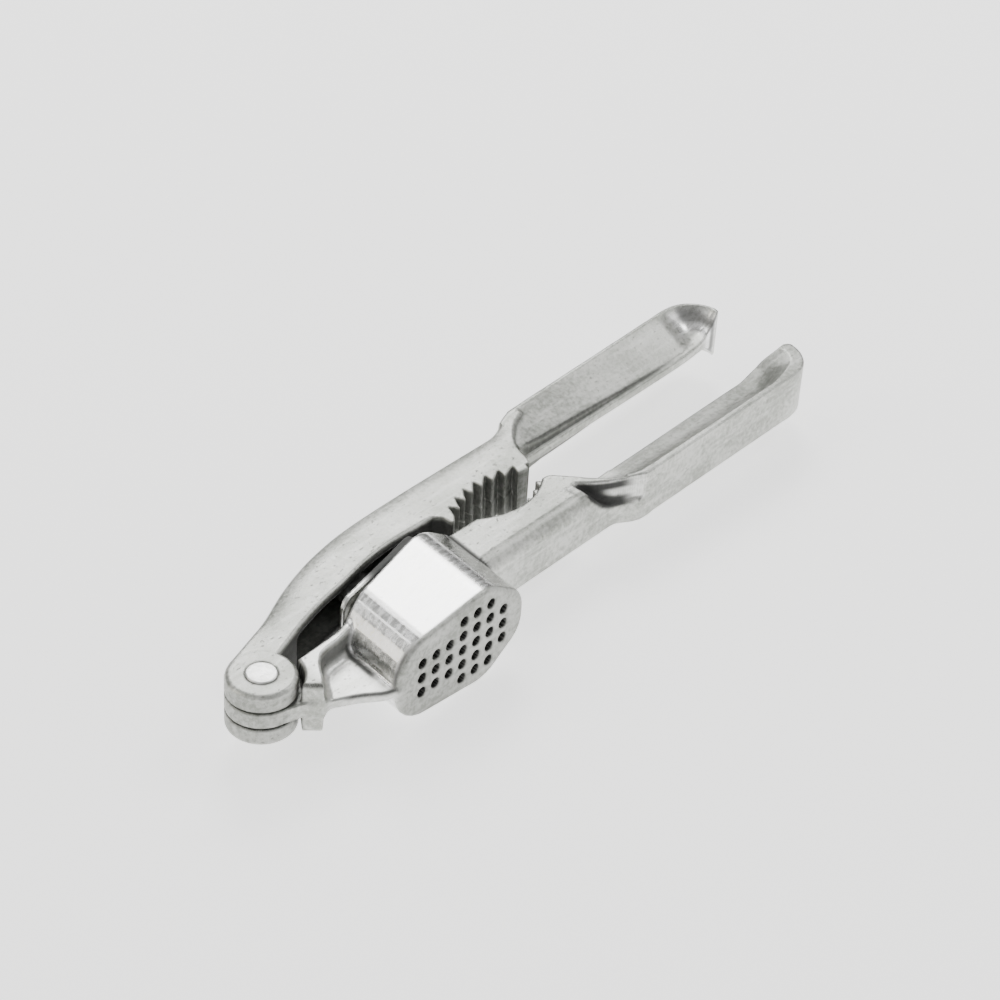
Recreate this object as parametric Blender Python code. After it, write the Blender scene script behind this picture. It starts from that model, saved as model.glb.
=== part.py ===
"""Garlic press with nutcracker jaws: two cast levers, a swinging plunger and two rivets.

Outlines are drawn in millimetres in the press's own plan: the hinge axis is the plan's origin,
+X runs along the levers to the handle ends, +Y points to the upper lever and Z = 0 is the
mid-plane of the castings. The press lies on its side, so the hinge axis is vertical.
The world origin is the bottom centre of the whole press.
"""
import math

import bmesh
import bpy
from mathutils import Vector

MM = 0.001

# Hinge
EAR_RADIUS = 7.35
EAR_HALF = 6.35
TONGUE_HALF = 1.8
CLEVIS_HALF = 2.25
RIVET_RADIUS = 2.0
RIVET_BORE = 2.08
RIVET_HEAD_RADIUS = 3.25
RIVET_HEAD_TOP = 6.7
RIVET_HEAD_BASE = 5.8
HEAD_POCKET_RADIUS = 3.4
HEAD_POCKET_FLOOR = 5.65

# Castings
LOWER_HALF = 6.1
WEB_HALF = 1.1
PALM_LOWER_Y = -11.7
PALM_UPPER_Y = 25.0
PALM_SLOPE = 0.026
LOWER_HANDLE_START = 107.0
UPPER_HANDLE_START = 103.0
HANDLE_END_LOWER = 168.6
HANDLE_END_UPPER = 167.8
HOOK_DEPTH = 9.6
HOOK_START = 11.0
UPPER_EDGE_Y = PALM_UPPER_Y + PALM_SLOPE * (HANDLE_END_UPPER - HOOK_START - UPPER_HANDLE_START)

# Basket: a skewed cup; its outline lies in the outlet plane, U along X and V along Z
HOLE_PITCH = 4.05
HOLE_ROW_PITCH = 3.71
HOLE_RADIUS = 1.2
HOLE_ROWS = ((-2, 0, 2), (-1, -3, 3), (0, -3, 3), (1, -3, 3), (2, 0, 2))
BASKET_X = 38.8
OUTLET_Y = -18.5
OUTLET_THICKNESS = 2.0
BASKET_WALL = 1.7
BASKET_SKEW = 0.15
BASKET_HALF = 11.74
SMALLEST_RADIUS = 0.6
MOUTH_X = 23.0
MOUTH_Y = -0.1
MOUTH_SLOPE = 0.17
MOUTH_TOP = 4.75

# Plunger
PIN_X = 38.5
PIN_Y = 13.8
PIN_RADIUS = 1.5
PIN_BORE = 1.58
PIN_BOTTOM = -6.0
PIN_TOP = 5.3
PLUNGER_FACE_Y = -14.7
PLUNGER_CLEARANCE = 0.75
PLUNGER_WALL = 1.8
PLUNGER_FLOOR = 3.0
PLUNGER_BACK_Y = 2.3
PLUNGER_BACK_SLOPE = 0.2
PLUNGER_RIM_X = 24.3
PLUNGER_RIM_END = 50.0
PLUNGER_RIM_HALF = 9.2
RIM_GAP = 1.1
BOSS_RADIUS = 3.1
BOSS_HALF = 3.8
FIN_HALF = 1.2

# Jaws: teeth stand on arcs about these centres
UPPER_JAW_CENTRE = (76.2, -11.5)
UPPER_JAW_VALLEY = 24.2
UPPER_JAW_TIP = 21.7
UPPER_TOOTH_STEP = math.radians(8.4)
UPPER_TEETH = 7
LOWER_JAW_CENTRE = (78.0, 17.5)
LOWER_JAW_RADIUS = 17.3
LOWER_TOOTH_HEIGHT = 1.4
LOWER_TOOTH_HALF = 4.6
LOWER_TEETH = 7
LOWER_TOOTH_STEP = math.radians(11.5)

# World placing: bottom centre of the whole press at the origin
HINGE_WORLD = Vector((
    -(HANDLE_END_LOWER - EAR_RADIUS) / 2,
    -(UPPER_EDGE_Y + OUTLET_Y) / 2,
    BASKET_HALF,
)) * MM


def clear_scene():
    for old in list(bpy.data.objects):
        bpy.data.objects.remove(old, do_unlink=True)


def material(name, colour, roughness):
    """A cast or polished metal finish."""
    made = bpy.data.materials.new(name)
    made.use_nodes = True
    shader = made.node_tree.nodes["Principled BSDF"]
    shader.inputs["Base Color"].default_value = (*colour, 1.0)
    shader.inputs["Roughness"].default_value = roughness
    shader.inputs["Metallic"].default_value = 0.9
    return made


def arc(centre, radius, start, end, count):
    """Points on a circle from start to end, in degrees."""
    points = []
    for i in range(count + 1):
        angle = math.radians(start + (end - start) * i / count)
        points.append((centre[0] + radius * math.cos(angle), centre[1] + radius * math.sin(angle)))
    return points


def spline(points, steps=3):
    """A smooth curve through the points, with steps spans between neighbours."""
    padded = [points[0]] + list(points) + [points[-1]]
    curve = []
    for i in range(1, len(padded) - 2):
        p0, p1, p2, p3 = (Vector(p) for p in padded[i - 1:i + 3])
        for step in range(steps):
            t = step / steps
            curve.append(tuple(0.5 * (
                2 * p1 + (p2 - p0) * t
                + (2 * p0 - 5 * p1 + 4 * p2 - p3) * t ** 2
                + (3 * p1 - p0 - 3 * p2 + p3) * t ** 3
            )))
    curve.append(tuple(points[-1]))
    return curve


def rounded(corners, steps=5):
    """A closed outline whose corners (x, y, radius) are rounded by arcs."""
    outline = []
    count = len(corners)
    for i, (x, y, radius) in enumerate(corners):
        here = Vector((x, y))
        before = (Vector(corners[i - 1][:2]) - here).normalized()
        after = (Vector(corners[(i + 1) % count][:2]) - here).normalized()
        half_angle = before.angle(after) / 2
        centre = here + (before + after).normalized() * radius / math.sin(half_angle)
        first = here + before * radius / math.tan(half_angle) - centre
        last = here + after * radius / math.tan(half_angle) - centre
        for step in range(steps + 1):
            spoke = first.lerp(last, step / steps).normalized() * radius
            outline.append(tuple(centre + spoke))
    return outline


def inset(corners, distance):
    """Counter-clockwise corners (x, y, radius) moved inwards, with smaller radii."""
    moved = []
    count = len(corners)
    for i, (x, y, radius) in enumerate(corners):
        here = Vector((x, y))
        before = (here - Vector(corners[i - 1][:2])).normalized()
        after = (Vector(corners[(i + 1) % count][:2]) - here).normalized()
        normal_sum = Vector((-before.y - after.y, before.x + after.x))
        shift = normal_sum * distance / (1 + before.dot(after))
        moved.append((x + shift.x, y + shift.y, max(radius - distance, SMALLEST_RADIUS)))
    return moved


def solid_from_rings(name, rings):
    """A closed body through rings of points, in millimetres, with both ends filled."""
    mesh = bpy.data.meshes.new(name)
    bm = bmesh.new()
    loops = [[bm.verts.new(Vector(point) * MM) for point in ring] for ring in rings]
    count = len(rings[0])
    for lower, upper in zip(loops, loops[1:]):
        for i in range(count):
            j = (i + 1) % count
            bm.faces.new((lower[i], lower[j], upper[j], upper[i]))
    bm.faces.new(loops[0])
    bm.faces.new(loops[-1])
    bmesh.ops.recalc_face_normals(bm, faces=bm.faces)
    bm.to_mesh(mesh)
    bm.free()
    made = bpy.data.objects.new(name, mesh)
    bpy.context.scene.collection.objects.link(made)
    return made


def plate(outline, bottom, top, name="plate"):
    """A plan outline raised from one level to another."""
    return solid_from_rings(name, [[(x, y, z) for x, y in outline] for z in (bottom, top)])


def cylinder(centre, radius, bottom, top, sides=40, name="cylinder"):
    outline = arc(centre, radius, 0, 360 - 360 / sides, sides - 1)
    return plate(outline, bottom, top, name)


def boolean(target, tool, operation):
    """Join, cut or intersect target with tool, and remove the tool."""
    modifier = target.modifiers.new("boolean", 'BOOLEAN')
    modifier.operation = operation
    modifier.solver = 'EXACT'
    modifier.object = tool
    graph = bpy.context.evaluated_depsgraph_get()
    mesh = bpy.data.meshes.new_from_object(target.evaluated_get(graph))
    target.modifiers.clear()
    target.data = mesh
    bpy.data.objects.remove(tool, do_unlink=True)


def join(target, *tools):
    for tool in tools:
        boolean(target, tool, 'UNION')


def cut(target, *tools):
    for tool in tools:
        boolean(target, tool, 'DIFFERENCE')


def finish(made, name, look, pivot=(0.0, 0.0, 0.0)):
    """Name a part, put its origin on its pivot and place it in the world."""
    made.name = name
    made.data.name = name
    pivot = Vector(pivot) * MM
    bm = bmesh.new()
    bm.from_mesh(made.data)
    bmesh.ops.translate(bm, verts=bm.verts, vec=-pivot)
    bmesh.ops.remove_doubles(bm, verts=bm.verts, dist=0.00002)
    bmesh.ops.dissolve_limit(bm, angle_limit=math.radians(0.5), verts=bm.verts, edges=bm.edges)
    bm.to_mesh(made.data)
    bm.free()
    made.location = HINGE_WORLD + pivot
    made.data.materials.clear()
    made.data.materials.append(look)
    made.data.shade_smooth()
    made.data.set_sharp_from_angle(angle=math.radians(35))
    return made


def handle(start, end, palm_start, palm_slope, inward):
    """A handle of T section: palm flange, hollow slope and thin web; inward is +1 or -1 in Y."""
    section = ((0.0, 4.2), (0.5, LOWER_HALF), (2.3, LOWER_HALF), (3.2, 4.4), (5.0, 2.5),
               (7.5, 1.4), (11.0, WEB_HALF))
    rings = []
    for x in (start, end):
        palm = palm_start + palm_slope * (x - start)
        top = [(x, palm + inward * depth, z) for depth, z in section]
        bottom = [(x, palm + inward * depth, -z) for depth, z in reversed(section)]
        rings.append(top + bottom)
    return solid_from_rings("handle", rings)


def hook_web(end, palm, inward):
    """The web between a handle's bar and its end wall."""
    outline = [(-HOOK_START - 1.0, 1.0), (-1.6, 6.0), (-2.4, 9.2), (-6.0, 10.2), (-HOOK_START - 1.0, 10.9)]
    return plate([(end + x, palm + inward * depth) for x, depth in outline], -WEB_HALF, WEB_HALF)


def hook(end, palm, inward):
    """The full-height rounded wall that closes a handle's end."""
    half = LOWER_HALF - 0.02
    local = [(-17.0, 0.04), (-9.0, 0.0), (-4.5, 1.2), (-1.4, 4.2), (0.0, 7.6)]
    outer = spline(local, 3)
    tip = [(-0.5, HOOK_DEPTH - 0.3), (-2.0, HOOK_DEPTH), (-3.6, 8.6)]
    inner = spline([(-4.3, 6.6), (-6.4, 4.4), (-10.0, 2.9), (-17.0, 2.3)], 3)
    outline = [(end + x, palm + inward * depth) for x, depth in outer + tip + inner]
    return plate(outline, -half, half)


def basket_outline(distance=0.0):
    """The basket's outline in the outlet plane, counter-clockwise in (U, V), moved inwards."""
    corners = (
        (-19.3, -9.2, 9.0), (9.0, -11.9, 4.9), (18.0, -5.0, 8.2),
        (18.0, 5.0, 8.2), (9.0, 11.9, 4.9), (-19.3, 9.2, 9.0),
    )
    return rounded(inset(corners, distance), 7)


def sloped_ring(outline, level, slope, level_x):
    """Outline points carried along the skewed basket to the plane y = level + slope (x - level_x)."""
    ring = []
    for u, v in outline:
        x0 = BASKET_X + u
        x = (x0 + BASKET_SKEW * (level - slope * level_x - OUTLET_Y)) / (1 - BASKET_SKEW * slope)
        ring.append((x, level + slope * (x - level_x), v))
    return ring


def basket_outside():
    outline = basket_outline()
    return solid_from_rings("basket", [
        sloped_ring(outline, OUTLET_Y, 0.0, 0.0),
        sloped_ring(outline, MOUTH_Y, MOUTH_SLOPE, MOUTH_X),
    ])


def basket_inside():
    outline = basket_outline(BASKET_WALL)
    return solid_from_rings("cavity", [
        sloped_ring(outline, OUTLET_Y + OUTLET_THICKNESS, 0.0, 0.0),
        sloped_ring(outline, MOUTH_Y + 8.0, MOUTH_SLOPE, MOUTH_X),
    ])


def outlet_hole(column, row):
    centre = (BASKET_X + column * HOLE_PITCH, row * HOLE_ROW_PITCH)
    circle = arc(centre, HOLE_RADIUS, 0, 337.5, 15)
    return solid_from_rings("hole", [
        [(x, OUTLET_Y - 1.0, z) for x, z in circle],
        [(x, OUTLET_Y + OUTLET_THICKNESS + 1.0, z) for x, z in circle],
    ])


def lower_jaw_teeth():
    """Saw teeth that stand up from the lower jaw's arc, across its middle."""
    outline = []
    first = 270 - math.degrees(LOWER_TOOTH_STEP) * LOWER_TEETH / 2
    for i in range(LOWER_TEETH):
        left = math.radians(first) + i * LOWER_TOOTH_STEP
        tip = left + 0.75 * LOWER_TOOTH_STEP
        for angle, radius in ((left, LOWER_JAW_RADIUS + 0.3), (tip, LOWER_JAW_RADIUS - LOWER_TOOTH_HEIGHT)):
            outline.append((LOWER_JAW_CENTRE[0] + radius * math.cos(angle),
                            LOWER_JAW_CENTRE[1] + radius * math.sin(angle)))
    last = math.radians(first) + LOWER_TEETH * LOWER_TOOTH_STEP
    for angle, radius in ((last, LOWER_JAW_RADIUS + 0.3), (last, LOWER_JAW_RADIUS + 1.5)):
        outline.append((LOWER_JAW_CENTRE[0] + radius * math.cos(angle),
                        LOWER_JAW_CENTRE[1] + radius * math.sin(angle)))
    start = math.radians(first)
    outline.append((LOWER_JAW_CENTRE[0] + (LOWER_JAW_RADIUS + 1.5) * math.cos(start),
                    LOWER_JAW_CENTRE[1] + (LOWER_JAW_RADIUS + 1.5) * math.sin(start)))
    return plate(outline, -LOWER_TOOTH_HALF, LOWER_TOOTH_HALF)


def make_lower_lever(look):
    lever = cylinder((0, 0), EAR_RADIUS, -TONGUE_HALF, TONGUE_HALF, 48)
    tongue_root = plate([(-1.0, -7.28), (5.0, -9.3), (10.0, -7.0), (10.6, -2.4), (6.0, -1.6),
                         (0.0, 0.0)], -TONGUE_HALF + 0.01, TONGUE_HALF - 0.01)
    clearance_arc = arc((0, 0), 8.4, -68, -10.8, 8)
    neck_inner = spline([(24.5, -2.0), (18.7, -3.3), (13.6, -3.8), (10.6, -5.9), (8.2, -9.0),
                         (6.2, -11.0)], 2)
    neck = plate(clearance_arc + [(19.8, -1.2), (24.5, 0.1)] + neck_inner, -LOWER_HALF, LOWER_HALF)
    web_edge = spline([(4.4, -9.2), (8.6, -11.6), (13.2, -14.2), (17.6, -17.6), (21.5, -18.2)], 3)
    web = plate(web_edge + [(24.5, -1.0), (19.0, -1.8), (9.0, -2.5)], -WEB_HALF, WEB_HALF)
    jaw_arc = arc(LOWER_JAW_CENTRE, LOWER_JAW_RADIUS, 232, 306, 12)
    jaw_outline = [(55.0, -8.7), (95.0, -8.75), (97.5, -8.2), (93.4, -2.4), (91.8, 0.8),
                   (90.2, 2.9), (88.9, 3.4)]
    jaw = plate(jaw_outline + jaw_arc[::-1] + [(65.6, 3.9), (57.5, 4.0)], -LOWER_HALF, LOWER_HALF)
    sweep_outer = spline([(97.0, -8.7), (99.6, -9.0), (101.4, -10.0), (103.2, -11.0), (105.2, -11.55),
                          (108.0, PALM_LOWER_Y)], 2)
    sweep_inner = spline([(108.0, -9.9), (104.4, -9.6), (100.6, -8.3), (96.9, -4.9), (93.8, -1.1),
                          (90.5, 1.8)], 2)
    sweep = plate(sweep_outer + sweep_inner + [(89.5, -0.5), (94.0, -5.0), (95.5, -8.0)],
                  -LOWER_HALF + 0.02, LOWER_HALF - 0.02)
    start_web = plate([(90.0, -8.6), (98.0, -8.5), (104.0, -10.8), (110.0, -11.0), (110.0, -0.72),
                       (97.0, -1.2), (91.0, 0.0)], -WEB_HALF, WEB_HALF)
    handle_bar = handle(LOWER_HANDLE_START, HANDLE_END_LOWER - HOOK_START, PALM_LOWER_Y, 0.0, 1)
    end_web = hook_web(HANDLE_END_LOWER, PALM_LOWER_Y, 1)
    end_hook = hook(HANDLE_END_LOWER, PALM_LOWER_Y, 1)
    join(lever, tongue_root, neck, web, basket_outside(), jaw, lower_jaw_teeth(), sweep, start_web,
         handle_bar, end_web, end_hook)
    scoop = [(91.3, -3.0), (94.8, -5.8), (97.6, -7.8), (100.8, -9.5), (104.0, -11.0), (105.0, -12.5),
             (93.0, -12.5), (91.0, -7.0)]
    cut(lever, plate(scoop, 1.6, 8.0))
    cut(lever, plate([(48.0, MOUTH_TOP), (66.0, MOUTH_TOP), (66.0, 14.0), (48.0, 14.0)], -13, 13))
    cut(lever, basket_inside())
    for row, first, last in HOLE_ROWS:
        for column in range(first, last + 1):
            cut(lever, outlet_hole(column, row))
    cut(lever, cylinder((0, 0), RIVET_BORE, -3, 3))
    return finish(lever, "lower_lever", look)


def upper_jaw_points():
    """Saw teeth along the upper jaw, from heel to toe: a steep drop and a slanted rise."""
    points = []
    cx, cy = UPPER_JAW_CENTRE
    for i in range(UPPER_TEETH):
        angle = math.radians(90) - (i - (UPPER_TEETH - 1) / 2) * UPPER_TOOTH_STEP
        for radius, turn in ((UPPER_JAW_VALLEY, 0.0), (UPPER_JAW_TIP, 0.004)):
            points.append((cx + radius * math.cos(angle - turn), cy + radius * math.sin(angle - turn)))
    return points


def make_upper_lever(look):
    lever = cylinder((0, 0), EAR_RADIUS, -EAR_HALF, EAR_HALF, 48)
    outer = spline([(-2.2, 7.01), (9.6, 10.7), (20.8, 15.6), (29.4, 18.5), (37.1, 20.2), (45.0, 21.2),
                    (56.7, 21.6), (88.0, 21.4), (94.7, 21.9), (98.4, 24.0), (104.0, PALM_UPPER_Y)], 3)
    crescent = spline([(104.0, 22.4), (99.5, 20.6), (96.2, 18.2), (93.4, 14.6), (91.6, 11.0)], 2)
    toe = [(89.6, 8.6), (87.3, 7.8)]
    heel = [(64.0, 6.3), (62.4, 6.3), (62.3, 8.6), (60.3, 10.4)]
    inner = spline([(55.8, 10.5), (48.1, 10.7), (39.2, 9.8), (31.6, 8.3), (25.0, 7.2), (17.0, 5.2),
                    (9.4, 2.7)], 2)
    outline = outer + crescent + toe + upper_jaw_points()[::-1] + heel + inner + [(6.8, 1.8), (0.0, 0.0)]
    arm = plate(outline[::-1], -EAR_HALF + 0.01, EAR_HALF - 0.01)
    web = plate([(90.0, 10.5), (97.6, 14.1), (106.0, 14.2), (106.0, 23.0), (99.0, 22.5), (92.0, 18.0)],
                -WEB_HALF, WEB_HALF)
    bar = handle(UPPER_HANDLE_START, HANDLE_END_UPPER - HOOK_START, PALM_UPPER_Y, PALM_SLOPE, -1)
    end_web = hook_web(HANDLE_END_UPPER, UPPER_EDGE_Y, -1)
    end_hook = hook(HANDLE_END_UPPER, UPPER_EDGE_Y, -1)
    join(lever, arm, web, bar, end_web, end_hook)
    clevis = [(-12, -12), (12, -12), (12, 1.0), (9.3, 3.4), (6.6, 6.6), (2.5, 9.0), (-12, 12)]
    cut(lever, plate(clevis, -CLEVIS_HALF, CLEVIS_HALF))
    channel = spline([(15.0, 9.0), (22.0, 12.6), (30.0, 15.4), (40.0, 17.9), (50.0, 18.9), (57.0, 19.0)], 2)
    channel = channel + [(57.5, 6.0), (48.0, 4.0), (30.0, 2.0), (14.0, 0.0)]
    cut(lever, plate(channel[::-1], -4.2, 4.2))
    cut(lever, cylinder((0, 0), RIVET_BORE, -9, 9))
    for side in (-1, 1):
        levels = sorted((side * HEAD_POCKET_FLOOR, side * 8.0))
        cut(lever, cylinder((0, 0), HEAD_POCKET_RADIUS, *levels))
    cut(lever, cylinder((PIN_X, PIN_Y), PIN_BORE, -8.0, PIN_TOP + 0.2, 24))
    return finish(lever, "upper_lever", look)


def make_plunger(look):
    """A cup that fits the basket, with a rim at its open back, a fin and a boss for its pin."""
    fit = basket_outline(BASKET_WALL + PLUNGER_CLEARANCE)
    hollow = basket_outline(BASKET_WALL + PLUNGER_CLEARANCE + PLUNGER_WALL)
    plunger = solid_from_rings("cup", [
        sloped_ring(fit, PLUNGER_FACE_Y, 0.0, 0.0),
        sloped_ring(fit, PLUNGER_BACK_Y, PLUNGER_BACK_SLOPE, PLUNGER_RIM_X),
    ])
    rim_outline = rounded((
        (PLUNGER_RIM_X, -PLUNGER_RIM_HALF, 2.5), (PLUNGER_RIM_END, -PLUNGER_RIM_HALF, 2.5),
        (PLUNGER_RIM_END, PLUNGER_RIM_HALF, 2.5), (PLUNGER_RIM_X, PLUNGER_RIM_HALF, 2.5),
    ), 3)
    rim_base = MOUTH_Y + RIM_GAP
    rim = solid_from_rings("rim", [
        [(x, rim_base + MOUTH_SLOPE * (x - MOUTH_X), z) for x, z in rim_outline],
        [(x, PLUNGER_BACK_Y - 0.01 + PLUNGER_BACK_SLOPE * (x - PLUNGER_RIM_X), z) for x, z in rim_outline],
    ])
    join(plunger, rim)
    cut(plunger, solid_from_rings("hollow", [
        sloped_ring(hollow, PLUNGER_FACE_Y + PLUNGER_FLOOR, 0.0, 0.0),
        sloped_ring(hollow, PLUNGER_BACK_Y + 4.0, PLUNGER_BACK_SLOPE, PLUNGER_RIM_X),
    ]))
    cut(plunger, plate([(50.3, 7.0), (52.5, 4.4), (64.0, 4.4), (64.0, 16.0), (50.3, 16.0)], -12, 12))
    fin = plate([(27.0, -12.6), (51.5, -12.6), (50.0, 1.0), (43.5, 8.0), (41.0, PIN_Y), (36.0, PIN_Y),
                 (33.0, 7.0), (28.0, -1.0)], -FIN_HALF, FIN_HALF)
    boss = cylinder((PIN_X, PIN_Y), BOSS_RADIUS, -BOSS_HALF, BOSS_HALF, 32)
    join(plunger, fin, boss)
    cut(plunger, cylinder((PIN_X, PIN_Y), PIN_BORE, -8, 8, 24))
    return finish(plunger, "plunger", look, (PIN_X, PIN_Y, 0.0))


def turned(name, centre, profile, sides):
    """A round piece about a vertical axis from (radius, height) steps."""
    return solid_from_rings(name, [
        [(x, y, height) for x, y in arc(centre, radius, 0, 360 - 360 / sides, sides - 1)]
        for radius, height in profile
    ])


def make_hinge_rivet(look):
    upper = [(RIVET_RADIUS, RIVET_HEAD_BASE), (RIVET_HEAD_RADIUS, RIVET_HEAD_BASE),
             (RIVET_HEAD_RADIUS, RIVET_HEAD_TOP - 0.25), (RIVET_HEAD_RADIUS - 0.3, RIVET_HEAD_TOP)]
    lower = [(radius, -height) for radius, height in reversed(upper)]
    return finish(turned("rivet", (0, 0), lower + upper, 40), "hinge_rivet", look)


def make_plunger_pin(look):
    profile = [(PIN_RADIUS - 0.2, PIN_BOTTOM), (PIN_RADIUS, PIN_BOTTOM + 0.2),
               (PIN_RADIUS, PIN_TOP - 0.2), (PIN_RADIUS - 0.2, PIN_TOP)]
    pivot = (PIN_X, PIN_Y, 0.0)
    return finish(turned("pin", pivot[:2], profile, 24), "plunger_pin", look, pivot)


def main():
    clear_scene()
    cast = material("cast_aluminium", (0.62, 0.63, 0.60), 0.42)
    polished = material("polished_aluminium", (0.74, 0.75, 0.74), 0.25)
    headed = material("rivet_aluminium", (0.70, 0.71, 0.69), 0.32)
    make_lower_lever(cast)
    make_upper_lever(cast)
    make_plunger(polished)
    make_hinge_rivet(headed)
    make_plunger_pin(headed)


main()
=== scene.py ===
"""Garlic press: fine die-cast surfaces, their metal finishes, the studio and the camera.

The castings are worked out as distance fields in millimetres, in the press's own plan: the hinge axis
is the origin, +X runs to the handle ends, +Y to the upper lever and Z = 0 is the castings' mid-plane.
Each field is negative inside the metal. A mesh is then drawn over the field's zero surface.
"""
import math
from itertools import product

import bpy
import numpy as np
from mathutils import Matrix, Vector


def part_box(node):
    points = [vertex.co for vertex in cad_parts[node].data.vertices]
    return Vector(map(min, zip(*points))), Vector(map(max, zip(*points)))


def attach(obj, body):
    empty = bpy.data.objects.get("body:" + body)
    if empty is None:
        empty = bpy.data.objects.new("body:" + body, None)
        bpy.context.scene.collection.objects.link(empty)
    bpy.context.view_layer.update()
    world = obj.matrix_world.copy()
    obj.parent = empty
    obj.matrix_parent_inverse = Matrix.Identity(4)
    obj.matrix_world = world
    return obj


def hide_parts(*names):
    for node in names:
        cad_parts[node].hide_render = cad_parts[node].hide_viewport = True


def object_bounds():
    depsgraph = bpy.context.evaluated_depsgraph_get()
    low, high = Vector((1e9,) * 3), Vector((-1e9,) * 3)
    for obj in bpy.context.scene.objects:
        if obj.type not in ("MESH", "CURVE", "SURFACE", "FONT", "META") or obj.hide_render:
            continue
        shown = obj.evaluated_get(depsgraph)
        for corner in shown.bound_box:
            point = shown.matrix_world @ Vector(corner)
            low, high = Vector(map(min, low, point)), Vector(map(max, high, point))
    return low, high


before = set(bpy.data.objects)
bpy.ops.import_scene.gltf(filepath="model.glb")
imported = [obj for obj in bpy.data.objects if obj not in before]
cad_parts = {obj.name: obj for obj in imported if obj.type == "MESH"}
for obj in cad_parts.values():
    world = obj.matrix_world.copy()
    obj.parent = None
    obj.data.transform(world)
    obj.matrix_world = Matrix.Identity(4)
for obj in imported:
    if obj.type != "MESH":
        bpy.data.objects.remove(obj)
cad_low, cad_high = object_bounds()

MM = 0.001
RIVET_LOW, RIVET_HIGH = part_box("hinge_rivet")
HINGE = (RIVET_LOW + RIVET_HIGH) / 2
FAR = 9.0
MEAN_PULL = 0.08

# Hinge
EAR_RADIUS = 7.35
EAR_HALF = 6.35
EAR_SWEEP_RADIUS = 8.25
TONGUE_HALF = 1.8
CLEVIS_HALF = 2.25
EAR_SWEEP_LEVEL = 2.05
RIVET_RADIUS = 2.0
RIVET_BORE = 2.08
RIVET_BORE_HALF = 4.0
HEAD_RADIUS = 3.25
HEAD_TOP = 6.7
HEAD_BASE = 5.8
HEAD_SHOULDER = 0.35
HEAD_DOME = 0.1
CORE_RADIUS = 0.05
POCKET_RADIUS = 3.3
POCKET_FLOOR = 5.65

# Castings
FULL_HALF = 6.1
WEB_HALF = 1.15
NECK_RADIUS = 8.4
NECK_DRAFT = 0.07
CHANNEL_HALF = 4.2
RIM_WIDTH_LOWER = 1.5
RIM_WIDTH_UPPER = 0.9
HANDLE_DEPTH = 10.0
HANDLE_START = 101.8

# Basket
HOLE_PITCH = 4.05
HOLE_ROW_PITCH = 3.71
HOLE_RADIUS = 1.2
HOLE_DEPTH = 4.0
HOLE_ROWS = ((-2, 0, 2), (-1, -3, 3), (0, -3, 3), (1, -3, 3), (2, 0, 2))
BASKET_X = 38.8
OUTLET_Y = -18.5
OUTLET_THICKNESS = 2.0
BASKET_WALL = 1.7
BASKET_SKEW = 0.15
MOUTH_X = 23.0
MOUTH_Y = -0.1
MOUTH_SLOPE = 0.17
MOUTH_TOP = 4.75

# Plunger
PIN_X = 38.5
PIN_Y = 13.8
PIN_RADIUS = 1.5
PIN_BORE = 1.58
PIN_BOTTOM = -6.0
PIN_TOP = 5.3
PLUNGER_FACE_Y = -14.7
PLUNGER_INSET = 2.45
PLUNGER_WALL = 1.8
PLUNGER_FLOOR = 3.0
PLUNGER_BACK_Y = 2.3
PLUNGER_BACK_SLOPE = 0.2
RIM_X = 24.3
RIM_END = 50.0
RIM_HALF = 9.2
RIM_GAP = 1.1
BOSS_RADIUS = 3.1
BOSS_HALF = 3.8
FIN_HALF = 1.2

# Jaws
UPPER_JAW_CENTRE = (76.2, -11.5)
UPPER_VALLEY = 24.2
UPPER_TIP = 21.7
UPPER_STEP = math.radians(8.4)
UPPER_TEETH = 7
UPPER_TIP_TURN = 0.012
PARTING_SHIFT = 0.012
LOWER_JAW_CENTRE = (78.0, 17.5)
LOWER_JAW_RADIUS = 17.3
LOWER_VALLEY_DEPTH = 0.2
LOWER_TOOTH_HEIGHT = 1.4
LOWER_TIP_SHARE = 0.75
LOWER_TOOTH_HALF = 4.6
LOWER_TEETH = 7
LOWER_STEP = math.radians(11.5)
JAW_DROP = 0.15

# Scoop at the root of the lower handle
SCOOP_END = 101.0
SCOOP_LENGTH = 10.5
SCOOP_LOW = -0.4
SCOOP_RISE = 6.5
SCOOP_CURVE = 2.2

# Finishes
SATIN_DEEP = (0.30, 0.31, 0.28, 1)
SATIN_PALE = (0.56, 0.565, 0.535, 1)
SCRATCH = (0.70, 0.70, 0.68, 1)
POLISHED_DEEP = (0.70, 0.70, 0.68, 1)
POLISHED_PALE = (0.93, 0.93, 0.92, 1)
PIT = (0.2, 0.2, 0.18, 1)
# Near-black colour painted where shade falls: inside the basket, in holes, gaps, channels, seams and between
# teeth
PAINTED_SHADE = (0.018, 0.019, 0.018, 1)
WIRE_DEEP = (0.66, 0.66, 0.64, 1)
WIRE_PALE = (0.78, 0.78, 0.76, 1)
PAPER_DEEP = (0.93, 0.93, 0.93, 1)
PAPER_PALE = (0.96, 0.96, 0.955, 1)
CAST_RELIEF = 0.00006
WIRE_RELIEF = 0.00004

# Studio: each lamp's name, place, target, size in metres, power in watts and colour
WHITE = (1.0, 1.0, 1.0)
CREAM = (1.0, 0.96, 0.88)
LAMPS = (
    ("key", (0.52, 0.54, 0.72), (0, 0, 0), (0.42, 0.42), 4.6, WHITE),
    ("strip", (-0.2, 0.52, 0.86), (0, 0, 0), (0.14, 0.5), 0.9, WHITE),
    ("side", (0.66, -0.24, 0.78), (0.05, 0, 0), (0.35, 0.35), 2.2, WHITE),
    ("left", (-0.9, -0.25, 0.5), (0, 0, 0), (0.5, 0.7), 1.0, WHITE),
    ("front", (0.66, -0.78, 0.34), (0, 0, 0), (0.9, 0.6), 1.8, WHITE),
    ("rear", (-0.8, 0.52, 0.5), (-0.04, 0, 0.01), (0.5, 0.8), 3.3, CREAM),
)
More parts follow.
